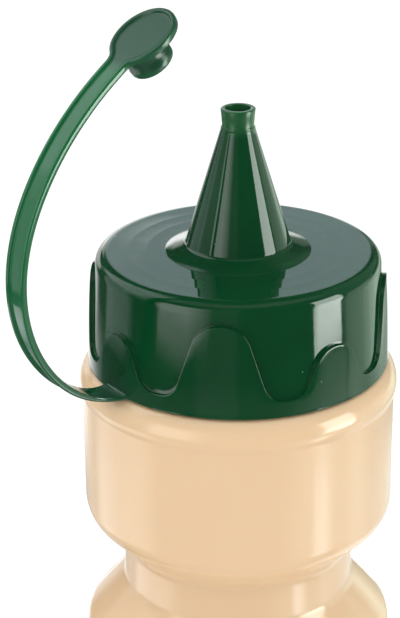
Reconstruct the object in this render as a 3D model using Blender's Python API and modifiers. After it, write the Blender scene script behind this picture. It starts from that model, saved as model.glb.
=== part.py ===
"""Sauce squeeze bottle: a waisted blow-moulded bottle and its moulded nozzle cap.

The cap is one moulding: a skirt with a wavy raised band, a conical nozzle, and a flat
strap that carries the stopper for the nozzle's tip. Units are metres and +Z is up. The
origin is the centre of the base, and the cap's own heights are measured from its rim.
"""

import math

import bmesh
import bpy
from mathutils import Matrix, Vector

# Bottle. Heights below the rim are measured down from the cap's lower edge.
RIM_Z = 0.158  # height of the cap's lower edge above the base
BODY_RADIUS = 0.0329
UPPER_RADIUS = 0.03253
BEAD_RADIUS = 0.03291  # bead round the shoulder
BEAD_ROUND = 0.00494
BEAD_DROP = 0.00466  # centre of the bead below the rim
LEDGE_DROP = 0.00035  # flat shoulder just under the rim
WAIST_RADIUS = 0.0245
UPPER_EDGE_DROP = 0.0308  # where the upper body starts to round in to the waist
UPPER_EDGE_ROUND = 0.0060
LOWER_EDGE_DROP = 0.0627
LOWER_EDGE_ROUND = 0.0035
WAIST_FILLET = 0.0040
UPPER_FLANK = math.radians(45)  # turn of the rounded edge before the straight flank
LOWER_FLANK = math.radians(39)
BASE_ROUND = 0.0050
NECK_GAP = 0.0003  # clearance between the neck and the inside of the cap
BOTTLE_STEPS = 64

# Cap skirt
RIM_RADIUS = 0.0310
RIM_ROUND = 0.00045
CAP_HEIGHT = 0.02334
TOP_ROUND = 0.00244
WALL_RADIUS_AT_RIM = 0.03037  # plain wall behind the raised band, carried down to the rim
WALL_RADIUS_AT_TOP = 0.0290
SKIRT_INNER_RADIUS = 0.0283
SKIRT_INNER_TOP_RADIUS = 0.0270
TOP_PLATE = 0.0020
BAND_SAG = 0.0026  # drop of the band's radius at height z is BAND_SAG * z * z, in millimetres
BAND_EDGE = 0.0003

# Wavy edge of the band: tall and short lobes by turns, four of each
LOBE_PAIRS = 4
TALL_LOBE = 0.0190
SHORT_LOBE = 0.0125
VALLEY = 0.0034
TALL_ROUND = 0.0062
SHORT_ROUND = 0.0054
VALLEY_ROUND = 0.0040
TALL_TO_VALLEY = 0.0124  # along the skirt, from a lobe's middle to its valley's round
SHORT_TO_VALLEY = 0.0100
WAVE_RADIUS = 0.0305  # radius at which the wave's widths are measured

# Nozzle
TIP_HEIGHT = 0.05288
TIP_RADIUS = 0.00345
TIP_CHAMFER = 0.00025
COLLAR_FOOT_RADIUS = 0.00318
COLLAR_FOOT = 0.0496
CONE_TOP = 0.0489
CONE_TOP_RADIUS = 0.00338
CONE_FOOT_RADIUS = 0.01119  # cone carried down to the top plate
NOZZLE_FILLET = 0.0045
NOZZLE_SINK = 0.0010
BORE_RADIUS = 0.0025
NOZZLE_STEPS = 48

# Strap and stopper. The strap lies in one upright plane, under a short lobe.
STRAP_AZIMUTH = math.radians(-51.5)  # from the front, towards -X
STRAP_ROOT = (0.0310, 0.0006)  # radius and height of its middle line at the skirt
STRAP_HEADING = math.radians(-1.0)  # of its first stretch, from level outwards
STRAP_BENDS = ((0.0, 0.0142), (0.008, 0.0201), (0.020, 0.0277), (0.040, 0.0332), (0.060, 0.0561))
STRAP_BENDS += ((0.080, 0.0667), (0.090, 0.4))  # (distance along the strap, radius of bend)
STRAP_HALF_WIDTH = 0.00285
STRAP_THICKNESS = 0.0013
STRAP_THINNING = (0.0001, 0.0005)  # taken off the outer and the inner side at the root
STRAP_THINNING_LENGTH = 0.0120
STRAP_FLARE = 0.0011  # extra half width at the root
STRAP_FLARE_LENGTH = 0.0070
STRAP_TAIL = 0.0020  # length buried in the skirt
STRAP_BORDER = 0.0010
STRAP_RECESS = 0.0005
RECESS_START = 0.0065
DISC_AT = 0.0930  # distance along the strap to the stopper disc's centre
DISC_RADIUS = 0.0070
NECK_FILLET = 0.0025
PLUG_SHIFT = -0.0014  # the plug stands this far from the disc's centre, along the strap
PLUG_HEIGHT = 0.0050
PLUG_LIP_RADIUS = 0.0045
PLUG_NECK_RADIUS = 0.0040
PLUG_SOCKET_RADIUS = 0.0033  # snaps over the collar at the nozzle's tip
PLUG_SOCKET_DEPTH = 0.0042
PLUG_STEPS = 32

CROSSING = 0.00005  # depth to which a shape that fades into a face is sunk


def reset_scene():
    for item in list(bpy.data.objects):
        bpy.data.objects.remove(item, do_unlink=True)
    for item in list(bpy.data.collections):
        bpy.data.collections.remove(item)


def new_collection(name):
    group = bpy.data.collections.new(name)
    bpy.context.scene.collection.children.link(group)
    return group


def plastic(name, colour, roughness):
    material = bpy.data.materials.new(name)
    material.use_nodes = True
    shader = material.node_tree.nodes["Principled BSDF"]
    shader.inputs["Base Color"].default_value = (*colour, 1.0)
    shader.inputs["Roughness"].default_value = roughness
    shader.inputs["Metallic"].default_value = 0.0
    return material


def add_object(name, mesh, group, material=None):
    item = bpy.data.objects.new(name, mesh)
    group.objects.link(item)
    if material:
        mesh.materials.append(material)
    return item


def hide_as_cutter(item):
    item.hide_render = True
    item.display_type = "WIRE"


def arc(centre, radius, start, end, count):
    """Points of a round stretch in the (radius, height) plane, angles in degrees."""
    points = []
    for i in range(count + 1):
        angle = math.radians(start + (end - start) * i / count)
        points.append((centre[0] + radius * math.cos(angle), centre[1] + radius * math.sin(angle)))
    return points


def turned(name, profile, steps, group, material=None):
    """Screw a profile of (radius, height), listed from the top down its outer side."""
    mesh = bpy.data.meshes.new(name)
    points = [(radius, 0.0, height) for radius, height in profile]
    edges = [(i, i + 1) for i in range(len(points) - 1)]
    mesh.from_pydata(points, edges, [])
    item = add_object(name, mesh, group, material)
    screw = item.modifiers.new("turn", "SCREW")
    screw.angle = math.tau
    screw.steps = steps
    screw.render_steps = steps
    screw.use_merge_vertices = True
    screw.merge_threshold = 0.00001
    screw.use_smooth_shade = True
    return item


# Bottle


def waist_edge(edge_radius, edge_z, rounding, turn, downwards):
    """Rounded edge, straight flank and fillet from a body of edge_radius in to the waist.

    The points run from the body to the waist. downwards is 1 where the waist lies below
    the edge, and -1 where it lies above.
    """
    centre = (edge_radius - rounding, edge_z)
    degrees = math.degrees(turn)
    rounded = arc(centre, rounding, 0, -degrees * downwards, 5)
    # The fillet has the same turn, and its centre lies outside the waist.
    fillet_r = WAIST_RADIUS + WAIST_FILLET
    fillet_foot = fillet_r - WAIST_FILLET * math.cos(turn)
    run = rounded[-1][0] - fillet_foot
    drop = run / math.tan(turn)
    fillet_z = rounded[-1][1] - downwards * (drop + WAIST_FILLET * math.sin(turn))
    fillet = arc((fillet_r, fillet_z), WAIST_FILLET, 180 - degrees * downwards, 180, 4)
    return rounded + fillet


def bottle_profile():
    """Outer side of the bottle, from the top of its neck to the centre of its base."""
    neck_top = RIM_Z + CAP_HEIGHT - TOP_PLATE - NECK_GAP
    neck_top_radius = SKIRT_INNER_TOP_RADIUS - NECK_GAP
    ledge_z = RIM_Z - LEDGE_DROP
    bead_centre = (BEAD_RADIUS - BEAD_ROUND, RIM_Z - BEAD_DROP)
    bead_start = math.degrees(math.asin((BEAD_DROP - LEDGE_DROP) / BEAD_ROUND))
    bead_end = -math.degrees(math.acos((UPPER_RADIUS - bead_centre[0]) / BEAD_ROUND))
    points = [(0.0, neck_top), (neck_top_radius - 0.001, neck_top), (neck_top_radius, neck_top - 0.001)]
    points.append((SKIRT_INNER_RADIUS - NECK_GAP, ledge_z))
    points += arc(bead_centre, BEAD_ROUND, bead_start, bead_end, 7)
    points += waist_edge(UPPER_RADIUS, RIM_Z - UPPER_EDGE_DROP, UPPER_EDGE_ROUND, UPPER_FLANK, 1)
    lower = waist_edge(BODY_RADIUS, RIM_Z - LOWER_EDGE_DROP, LOWER_EDGE_ROUND, LOWER_FLANK, -1)
    points += reversed(lower)
    points += arc((BODY_RADIUS - BASE_ROUND, BASE_ROUND), BASE_ROUND, 0, -90, 5)
    points.append((0.0, 0.0))
    return points


# Cap skirt


def half_lobe(height, rounding, reach, segments):
    """One side of a lobe, from its top to its valley: (distance along the skirt, height).

    The lobe's round top and the valley's round bottom are joined by the straight line
    that touches both.
    """
    top = Vector((0.0, height - rounding))
    foot = Vector((reach, VALLEY + VALLEY_ROUND))
    across = foot - top
    lean = math.atan2(across.y, across.x) + math.acos((rounding + VALLEY_ROUND) / across.length)
    degrees = math.degrees(lean)
    return arc(top, rounding, 90, degrees, segments) + arc(foot, VALLEY_ROUND, 180 + degrees, 270, 3)


def wave_columns():
    """(azimuth, band height) of the columns round the skirt, a tall lobe first."""
    pair_angle = math.tau / LOBE_PAIRS
    tall = [(u / WAVE_RADIUS, z) for u, z in half_lobe(TALL_LOBE, TALL_ROUND, TALL_TO_VALLEY, 4)]
    short = [(u / WAVE_RADIUS, z) for u, z in half_lobe(SHORT_LOBE, SHORT_ROUND, SHORT_TO_VALLEY, 4)]
    middle = pair_angle / 2
    one_side = tall + [(middle - angle, z) for angle, z in reversed(short)]
    other_side = [(pair_angle - angle, z) for angle, z in reversed(one_side[1:-1])]
    start = STRAP_AZIMUTH - middle
    columns = []
    for pair in range(LOBE_PAIRS):
        for angle, height in one_side + other_side:
            columns.append((start + pair * pair_angle + angle, height))
    return columns


def wall_radius(height):
    share = height / (CAP_HEIGHT - TOP_ROUND)
    return WALL_RADIUS_AT_RIM + (WALL_RADIUS_AT_TOP - WALL_RADIUS_AT_RIM) * share


def band_radius(height):
    return RIM_RADIUS - BAND_SAG * height * height * 1000


def skirt_section(band_height):
    """Closed section of the skirt and top plate, from inside the plate round to its top."""
    shoulder = CAP_HEIGHT - TOP_ROUND
    section = [(SKIRT_INNER_TOP_RADIUS, CAP_HEIGHT - TOP_PLATE), (SKIRT_INNER_RADIUS, 0.0)]
    section += [(RIM_RADIUS - RIM_ROUND, 0.0), (RIM_RADIUS, RIM_ROUND)]
    section.append((band_radius(band_height), band_height - BAND_EDGE))
    section.append((band_radius(band_height) - BAND_EDGE, band_height))
    section.append((wall_radius(band_height), band_height))
    section += arc((WALL_RADIUS_AT_TOP - TOP_ROUND, shoulder), TOP_ROUND, 0, 90, 4)
    return section


def skirt_mesh():
    """Loft the skirt's section round its columns and close it at the axis."""
    shape = bmesh.new()
    rings = []
    for azimuth, band_height in wave_columns():
        side = Vector((math.sin(azimuth), -math.cos(azimuth)))
        ring = []
        for radius, height in skirt_section(band_height):
            ring.append(shape.verts.new((side.x * radius, side.y * radius, RIM_Z + height)))
        rings.append(ring)
    under = shape.verts.new((0.0, 0.0, RIM_Z + CAP_HEIGHT - TOP_PLATE))
    top = shape.verts.new((0.0, 0.0, RIM_Z + CAP_HEIGHT))
    for ring, after in zip(rings, rings[1:] + rings[:1]):
        for i in range(len(ring) - 1):
            shape.faces.new((ring[i], after[i], after[i + 1], ring[i + 1]))
        shape.faces.new((under, after[0], ring[0]))
        shape.faces.new((top, ring[-1], after[-1]))
    bmesh.ops.recalc_face_normals(shape, faces=shape.faces)
    mesh = bpy.data.meshes.new("cap")
    shape.to_mesh(mesh)
    shape.free()
    mesh.shade_smooth()
    mesh.set_sharp_from_angle(angle=math.radians(40))
    return mesh


# Nozzle


def nozzle_profile():
    """Outer side of the nozzle, from its tip to just inside the top plate."""
    plate = RIM_Z + CAP_HEIGHT
    slope = math.atan2(CONE_FOOT_RADIUS - CONE_TOP_RADIUS, CONE_TOP - CAP_HEIGHT)
    turn = math.pi / 2 - slope
    reach = NOZZLE_FILLET * math.tan(turn / 2)
    fillet_r = CONE_FOOT_RADIUS + reach
    tip = RIM_Z + TIP_HEIGHT
    points = [(0.0, tip), (TIP_RADIUS - TIP_CHAMFER, tip), (TIP_RADIUS, tip - TIP_CHAMFER)]
    points.append((COLLAR_FOOT_RADIUS, RIM_Z + COLLAR_FOOT))
    points.append((CONE_TOP_RADIUS, RIM_Z + CONE_TOP))
    # The fillet fades out a little below the plate, so that the two surfaces cross.
    fillet_centre = (fillet_r, plate + NOZZLE_FILLET - CROSSING)
    points += arc(fillet_centre, NOZZLE_FILLET, 270 - math.degrees(turn), 270, 6)
    points += [(points[-1][0], plate - NOZZLE_SINK), (0.0, plate - NOZZLE_SINK)]
    return points


def bore_profile():
    over = 0.001
    top = RIM_Z + TIP_HEIGHT + over
    foot = RIM_Z + CAP_HEIGHT - TOP_PLATE - over
    return [(0.0, top), (BORE_RADIUS, top), (BORE_RADIUS, foot), (0.0, foot)]


# Strap and stopper


def strap_curvature(along):
    stations = STRAP_BENDS
    if along <= stations[0][0]:
        return 1 / stations[0][1]
    for (s0, radius0), (s1, radius1) in zip(stations, stations[1:]):
        if along <= s1:
            share = (along - s0) / (s1 - s0)
            return (1 - share) / radius0 + share / radius1
    return 0.0


def strap_point(along):
    """Radius, height and heading of the strap's middle line at a distance along it."""
    step = 0.0005
    radius, height = STRAP_ROOT
    heading = STRAP_HEADING
    if along < 0:
        return radius + along * math.cos(heading), height + along * math.sin(heading), heading
    count = max(1, round(along / step))
    step = along / count
    for i in range(count):
        bend = strap_curvature((i + 0.5) * step) * step
        radius += step * math.cos(heading + bend / 2)
        height += step * math.sin(heading + bend / 2)
        heading += bend
    return radius, height, heading


def strap_frame(along):
    """Matrix at a point of the strap: X along it, Y across it, Z towards its inner side."""
    radius, height, heading = strap_point(along)
    outwards = Vector((math.sin(STRAP_AZIMUTH), -math.cos(STRAP_AZIMUTH), 0.0))
    upwards = Vector((0.0, 0.0, 1.0))
    forwards = outwards * math.cos(heading) + upwards * math.sin(heading)
    inwards = upwards * math.cos(heading) - outwards * math.sin(heading)
    across = inwards.cross(forwards)
    place = outwards * radius + upwards * (RIM_Z + height)
    frame = Matrix((forwards, across, inwards)).transposed().to_4x4()
    frame.translation = place
    return frame


def neck_start(inset):
    """Distance along the strap at which its edge starts to swing out to the disc."""
    fillet = NECK_FILLET + inset
    centre_side = STRAP_HALF_WIDTH + NECK_FILLET
    reach = DISC_RADIUS + NECK_FILLET
    start = DISC_AT - math.sqrt(reach**2 - centre_side**2)
    touch = DISC_AT - (DISC_AT - start) * (DISC_RADIUS - inset) / reach
    return start, touch, centre_side, fillet


def strap_half_width(along, inset=0.0):
    """Half width of the strap and its disc, less an even inset."""
    start, touch, centre_side, fillet = neck_start(inset)
    if along >= touch:
        return math.sqrt(max((DISC_RADIUS - inset) ** 2 - (along - DISC_AT) ** 2, 0.0))
    if along >= start:
        return centre_side - math.sqrt(fillet**2 - (along - start) ** 2)
    flare = max(0.0, 1 - along / STRAP_FLARE_LENGTH)
    return STRAP_HALF_WIDTH - inset + STRAP_FLARE * flare**2


def strap_faces(along):
    """Depths of the strap's outer and inner faces, which come together near the root."""
    share = min(max(1 - along / STRAP_THINNING_LENGTH, 0.0), 1.0)
    half = STRAP_THICKNESS / 2
    return STRAP_THINNING[0] * share - half, half - STRAP_THINNING[1] * share


def recess_faces(along):
    """Depths from clear of the strap's outer face to the floor of its recess."""
    return -STRAP_THICKNESS, STRAP_RECESS - STRAP_THICKNESS / 2


def strap_stations(first, inset=0.0):
    """Distances along the strap at which its outline is set out."""
    spacing = 0.0024
    start, touch, _, _ = neck_start(inset)
    # An inset outline is set out between the full one's stations, so no corners coincide.
    start += inset / 4
    count = round((start - first) / spacing)
    stations = [first + (start - first) * i / count for i in range(count)]
    stations += [start + (touch - start) * i / 3 for i in range(3)]
    radius = DISC_RADIUS - inset
    first_angle = math.acos((DISC_AT - touch) / radius)
    last_angle = math.radians(172)
    steps = 11
    for i in range(steps + 1):
        angle = first_angle + (last_angle - first_angle) * i / steps
        stations.append(DISC_AT - radius * math.cos(angle))
    return stations


def bent_plate(name, stations, inset, faces, group):
    """A plate that follows the strap. faces gives the depths of its two sides.

    Depths are measured from the strap's middle line towards its inner side.
    """
    shape = bmesh.new()
    rings = []
    for along in stations:
        frame = strap_frame(along)
        side = strap_half_width(along, inset)
        bottom, top = faces(along)
        corners = ((-side, bottom), (side, bottom), (side, top), (-side, top))
        rings.append([shape.verts.new(frame @ Vector((0.0, y, z))) for y, z in corners])
    for ring, after in zip(rings, rings[1:]):
        for i in range(4):
            shape.faces.new((ring[i], ring[(i + 1) % 4], after[(i + 1) % 4], after[i]))
    shape.faces.new(rings[0])
    shape.faces.new(rings[-1])
    bmesh.ops.recalc_face_normals(shape, faces=shape.faces)
    mesh = bpy.data.meshes.new(name)
    shape.to_mesh(mesh)
    shape.free()
    return add_object(name, mesh, group)


def plug_profile():
    """Section of the stopper's plug. Its local +Z points away from the disc."""
    root = -STRAP_THICKNESS / 2
    floor = PLUG_HEIGHT - PLUG_SOCKET_DEPTH
    edge = 0.0003
    points = [(0.0, floor), (PLUG_SOCKET_RADIUS, floor), (PLUG_SOCKET_RADIUS, PLUG_HEIGHT)]
    points += [(PLUG_LIP_RADIUS - edge, PLUG_HEIGHT), (PLUG_LIP_RADIUS, PLUG_HEIGHT - edge)]
    points += [(PLUG_LIP_RADIUS, PLUG_HEIGHT * 0.7), (PLUG_NECK_RADIUS, PLUG_HEIGHT * 0.5)]
    points += [(PLUG_NECK_RADIUS, root), (0.0, root)]
    return points


def build_bottle(group):
    peach = plastic("bottle_polyethylene", (0.84, 0.60, 0.38), 0.28)
    return turned("bottle", bottle_profile(), BOTTLE_STEPS, group, peach)


def build_cap(group, cutters):
    green = plastic("cap_polyethylene", (0.004, 0.045, 0.014), 0.16)
    cap = add_object("cap", skirt_mesh(), group, green)
    joined = new_collection("cap_joined_shapes")
    removed = new_collection("cap_removed_shapes")
    turned("nozzle", nozzle_profile(), NOZZLE_STEPS, joined)
    bent_plate("strap", strap_stations(-STRAP_TAIL), 0.0, strap_faces, joined)
    plug = turned("plug", plug_profile(), PLUG_STEPS, joined)
    under_disc = Matrix.Translation((0.0, 0.0, STRAP_THICKNESS / 2))
    plug.matrix_world = strap_frame(DISC_AT + PLUG_SHIFT) @ under_disc
    turned("bore", bore_profile(), NOZZLE_STEPS, removed)
    stations = strap_stations(RECESS_START, STRAP_BORDER)
    bent_plate("recess", stations, STRAP_BORDER, recess_faces, removed)
    for operation, operands in (("UNION", joined), ("DIFFERENCE", removed)):
        boolean = cap.modifiers.new(operation.lower(), "BOOLEAN")
        boolean.operation = operation
        boolean.operand_type = "COLLECTION"
        boolean.collection = operands
        boolean.solver = "EXACT"
        for item in operands.objects:
            cutters.objects.link(item)
            hide_as_cutter(item)
    return cap


def main():
    reset_scene()
    bottle_parts = new_collection("sauce_squeeze_bottle")
    cutters = new_collection("cutters")
    build_bottle(bottle_parts)
    build_cap(bottle_parts, cutters)


main()
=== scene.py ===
"""Looks for the sauce squeeze bottle: a peach bottle under a dark-green nozzle cap."""

import math

import bmesh
import bpy
from bpy.props import FloatProperty, FloatVectorProperty, IntProperty, PointerProperty
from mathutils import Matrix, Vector


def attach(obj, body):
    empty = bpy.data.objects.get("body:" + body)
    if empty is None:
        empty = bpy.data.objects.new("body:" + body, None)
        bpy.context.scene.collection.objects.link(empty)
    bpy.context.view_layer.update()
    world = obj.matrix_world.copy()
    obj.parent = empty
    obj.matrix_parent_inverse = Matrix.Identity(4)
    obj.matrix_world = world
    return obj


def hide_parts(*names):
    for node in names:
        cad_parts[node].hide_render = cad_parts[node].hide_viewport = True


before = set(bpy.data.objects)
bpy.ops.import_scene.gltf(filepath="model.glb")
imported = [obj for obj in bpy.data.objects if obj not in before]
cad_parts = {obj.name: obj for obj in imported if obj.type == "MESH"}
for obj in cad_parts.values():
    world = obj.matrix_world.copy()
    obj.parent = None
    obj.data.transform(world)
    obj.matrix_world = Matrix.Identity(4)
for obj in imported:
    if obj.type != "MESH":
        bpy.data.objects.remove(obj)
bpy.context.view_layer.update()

bl_info = {
    "name": "Sauce Squeeze Bottle",
    "version": (1, 0, 0),
    "blender": (4, 5, 0),
    "location": "View3D > Sidebar > Bottle",
    "description": "Makes a waisted squeeze bottle, its nozzle cap and a soft studio",
    "category": "Object",
}

MM = 0.001
TOUCHING = 1e-7  # points nearer than this, in metres, are one
# Kinds of node that come often.
MATH, VECTORS, NOISE = "ShaderNodeMath", "ShaderNodeVectorMath", "ShaderNodeTexNoise"
BLEND, SPAN = "ShaderNodeMix", "ShaderNodeMapRange"


def linear(hex_colour):
    """Linear colour, with its alpha, of an sRGB hex colour."""
    channels = [int(hex_colour[i : i + 2], 16) / 255 for i in (1, 3, 5)]
    channels = [c / 12.92 if c <= 0.04045 else ((c + 0.055) / 1.055) ** 2.4 for c in channels]
    return (*channels, 1.0)


def length(name, size, description):
    """Property for a length, given in millimetres."""
    return FloatProperty(
        name=name, description=description, default=size * MM, unit="LENGTH", subtype="DISTANCE"
    )


def slant(name, degrees, description):
    """Property for an angle, given in degrees."""
    return FloatProperty(
        name=name, description=description, default=math.radians(degrees), subtype="ANGLE"
    )


def colour(name, shade, description):
    """Property for a colour, given as sRGB hex."""
    shade = {"default": linear(shade), "size": 4, "min": 0.0, "max": 1.0, "subtype": "COLOR"}
    return FloatVectorProperty(name=name, description=description, **shade)


# Sizes and colours


class BottleSizes(bpy.types.PropertyGroup):
    """Sizes of the bottle. Drops are measured down from the cap's lower rim."""

    rim_z: length("Rim height", 158.0, "Cap's lower rim above the base")
    body_radius: length("Body radius", 32.9, "Radius of the lower body")
    upper_radius: length("Upper radius", 32.53, "Radius of the body above the waist")
    bead_radius: length("Bead radius", 32.91, "Outer radius of the shoulder bead")
    bead_round: length("Bead rounding", 4.94, "Radius of the bead's section")
    bead_drop: length("Bead drop", 4.66, "Middle of the bead below the rim")
    bead_fillet: length("Bead fillet", 2.5, "Between the bead and the body")
    ledge_drop: length("Ledge drop", 0.35, "Flat shoulder below the rim")
    waist_radius: length("Waist radius", 24.5, "Radius of the waist")
    waist_fillet: length("Waist fillet", 4.0, "Rounding at both flanks' feet")
    upper_edge_drop: length("Upper edge drop", 30.8, "Start of the rounding above the waist")
    upper_edge_round: length("Upper edge rounding", 6.0, "Rounding above the waist")
    lower_edge_drop: length("Lower edge drop", 62.7, "End of the rounding below the waist")
    lower_edge_round: length("Lower edge rounding", 3.5, "Rounding below the waist")
    base_round: length("Base rounding", 5.0, "Rounding round the base")
    steps: IntProperty(name="Steps", description="Facets round the bottle", default=192, min=24)


class CapSizes(bpy.types.PropertyGroup):
    """Sizes of the cap, with heights measured up from its lower rim."""

    rim_radius: length("Rim radius", 31.0, "Outer radius at the lower rim")
    rim_round: length("Rim rounding", 0.3, "Rounding of the rim's outer edge")
    height: length("Cap height", 23.34, "Height of the flat top")
    top_round: length("Top rounding", 2.44, "Between the wall and the top")
    wall_foot: length("Wall foot radius", 30.37, "Plain wall, carried to the rim")
    wall_top: length("Wall top radius", 29.0, "Plain wall under the top's rounding")
    inner_foot: length("Inner foot radius", 28.3, "Inside of the skirt at the rim")
    inner_top: length("Inner top radius", 27.0, "Inside of the skirt under the top")
    plate: length("Top plate", 2.0, "Thickness of the top")
    band_edge: length("Band edge", 0.05, "Rounding of the raised band's edge")
    band_foot: length("Band foot", 0.06, "Fillet from the band's edge to the wall")
    flank_crown: length("Flank crown", 0.04, "Fall of the band to its lobes' flanks")
    crown_reach: length("Crown reach", 1.4, "Stretch over which it falls")
    tall_lobe: length("Tall lobe", 19.0, "Height of the band's tall lobes")
    short_lobe: length("Short lobe", 12.5, "Height of the band's short lobes")
    valley: length("Valley", 3.4, "Height of the band between its lobes")
    tall_round: length("Tall lobe rounding", 6.2, "Radius of the tall lobes' tops")
    short_round: length("Short lobe rounding", 5.4, "Radius of the short lobes' tops")
    valley_round: length("Valley rounding", 4.0, "Radius of the valleys' corners")
    tall_reach: length("Tall lobe reach", 12.4, "From its middle to its valley's round")
    short_reach: length("Short lobe reach", 10.0, "From its middle to its valley's round")
    wave_radius: length("Wave radius", 30.5, "Where the wave's widths are measured")
    lobe_pairs: IntProperty(name="Lobe pairs", description="Pairs of lobes", default=4, min=2)
    tip_height: length("Tip height", 52.88, "Height of the nozzle's tip")
    tip_radius: length("Tip radius", 3.45, "Outer radius of the nozzle's tip")
    collar_foot: length("Collar foot", 49.6, "Height of the foot of the collar")
    collar_foot_radius: length("Collar foot radius", 3.18, "Radius at the foot of the collar")
    cone_top: length("Cone top", 48.9, "Height of the top of the cone")
    cone_top_radius: length("Cone top radius", 3.38, "Radius of the top of the cone")
    cone_foot_radius: length("Cone foot radius", 11.19, "Cone, carried down to the top")
    nozzle_flare: length("Nozzle flare", 14.75, "Radius of the flare's edge")
    flare_step: length("Flare step", 0.12, "Step at the flare's edge")
    flare_fillet: length("Flare fillet", 1.1, "Between the cone and its flare")
    flare_slope: slant("Flare slope", 20.0, "Slope of the flare")
    bore_radius: length("Bore radius", 2.5, "Radius of the nozzle's bore")


class StrapSizes(bpy.types.PropertyGroup):
    """Sizes of the strap and its stopper."""

    azimuth: slant("Azimuth", -51.5, "Where the strap starts, from the front towards +X")
    heading: slant("Heading", -1.0, "Slope of the strap's first stretch")
    root_radius: length("Root radius", 31.0, "From the cap's axis to the root")
    root_height: length("Root height", 0.6, "Height of the strap's middle there")
    half_width: length("Half width", 2.85, "Half of the strap's width")
    thickness: length("Thickness", 1.3, "Thickness of the strap and disc")
    outer_thinning: length("Outer thinning", 0.1, "Taken off the outer face at the root")
    inner_thinning: length("Inner thinning", 0.5, "Taken off the inner face at the root")
    thinning_length: length("Thinning length", 12.0, "Stretch over which the strap thins")
    flare: length("Flare", 1.1, "Extra half width at the root")
    flare_length: length("Flare length", 7.0, "Stretch over which the root flares")
    root_fillet: length("Root fillet", 1.5, "Between the inner face and the skirt")
    border: length("Border", 1.0, "Width of the raised border")
    recess: length("Recess", 0.5, "Depth of the outer face's recess")
    recess_start: length("Recess start", 6.5, "From the root to the recess")
    edge_round: length("Edge rounding", 0.38, "Rounding of the outer face's edges")
    inner_round: length("Inner rounding", 0.12, "Rounding of the inner face's edges")
    disc_at: length("Disc position", 93.0, "Along the strap to the disc's centre")
    disc_radius: length("Disc radius", 7.0, "Radius of the stopper's disc")
    neck_fillet: length("Neck fillet", 2.5, "Between the strap's edges and the disc")
    plug_shift: length("Plug shift", -1.4, "From the disc's centre to the plug's")
    plug_height: length("Plug height", 5.0, "Height of the plug under the disc")
    plug_lip: length("Plug lip radius", 4.5, "Radius of the lip at the plug's end")
    plug_neck: length("Plug neck radius", 4.0, "Radius of the plug above its lip")
    socket_radius: length("Socket radius", 3.3, "Radius of the plug's socket")
    socket_depth: length("Socket depth", 4.2, "Depth of the plug's socket")


class Finishes(bpy.types.PropertyGroup):
    """Colours of the bottle's parts and of the studio."""

    green: colour("Cap green", "#0A4424", "Body colour of the cap")
    deep_green: colour("Deep green", "#06371C", "Darker streaks in the cap's plastic")
    # Painted light: the strap's green is lighter than the cap's, for light through the thin strap
    # and the open light round it.
    thin_green_painted_light: colour("Thin green", "#1A693D", "Body colour of the strap")
    # Partly painted shade: darker for thick plastic, and for shade on the plug under the disc and
    # at the strap's root beside the bottle.
    stopper_green_painted_shade: colour("Stopper green", "#154A2F", "Body colour of the stopper")
    # Painted light: the nozzle's tip is lighter, a painted glow of light through its thin wall.
    tip_green_painted_glow: colour("Tip green", "#17562D", "Body colour of the nozzle's tip")
    dust: colour("Dust", "#698E79", "Specks of dust on the green plastic")
    peach: colour("Bottle peach", "#E4C7A3", "Body colour of the bottle")
    warm_peach: colour("Warm peach", "#DFBF99", "Thicker places in the bottle's wall")
    floor: colour("Floor", "#FBFBFA", "Colour of the studio floor")


QUARTER = [math.pi / 2 * i / 4 for i in range(5)]  # angles across a small round edge
# The band's face draws in by this share of its height, and by this times its height's cube.
BAND_TAPER, BAND_FALL = 0.035, 40.0
# Shares of the way up the band and the wall at which their rows lie, close where they start.
BAND_ROWS = (0.01, 0.05, 0.2, 0.45, 0.7, 0.88)
WALL_ROWS = (0.05, 0.15, 0.3, 0.48, 0.66, 0.84, 0.97)
# Shares of the way across a turning ring, close at its two crests.
RING_ROWS = (0, 0.02, 0.14, 0.3, 0.5, 0.7, 0.86, 0.98, 1)

# Distance along the strap and radius of its bend there, in millimetres.
STRAP_BENDS = ((0, 14.2), (8, 20.1), (20, 27.7), (40, 33.2), (60, 56.1), (80, 66.7), (90, 400.0))
STRAP_LEAD = 3 * MM  # stretch of the strap's path inside the skirt
STRAP_STEP = 0.5 * MM  # between the points of its path
ROUND_ROOT = 8 * MM  # stretch over which the skirt's roundness fades from the strap
# Soft step from the recess up to the border: millimetres in from the border's inner edge,
# and share of the recess's depth there.
BORDER_STEP = (
    (0.5, 1.0), (0.22, 1.0), (0.1, 0.94), (0.03, 2 / 3),
    (-0.04, 1 / 4), (-0.16, 1 / 14), (-0.32, 0.0),
)


# Shared tools


def arc(centre, radius, start, end, count):
    """Points of a round stretch in a plane, angles in degrees."""
    points = []
    for i in range(count + 1):
        angle = math.radians(start + (end - start) * i / count)
        points.append((centre[0] + radius * math.cos(angle), centre[1] + radius * math.sin(angle)))
    return points


def eased(share):
    """Share of a change with a soft start and end."""
    share = min(max(share, 0.0), 1.0)
    return share * share * (3 - 2 * share)


def mix(a, b, share):
    """Value at a share of the way from a to b."""
    return a + (b - a) * share


def way(azimuth, elevation):
    """Direction at an azimuth, from the front towards +X, and an elevation, in degrees."""
    a, e = math.radians(azimuth), math.radians(elevation)
    return Vector((math.sin(a) * math.cos(e), -math.cos(a) * math.cos(e), math.sin(e)))


def add_object(name, data):
    """New object at the origin, in the scene."""
    item = bpy.data.objects.new(name, data)
    bpy.context.scene.collection.objects.link(item)
    return item


def piece_from(shape, name, material=None):
    """Smooth object from a bmesh."""
    bmesh.ops.remove_doubles(shape, verts=shape.verts, dist=TOUCHING)
    bmesh.ops.recalc_face_normals(shape, faces=shape.faces)
    mesh = bpy.data.meshes.new(name)
    shape.to_mesh(mesh)
    shape.free()
    mesh.shade_smooth()
    if material:
        mesh.materials.append(material)
    return add_object(name, mesh)


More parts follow.
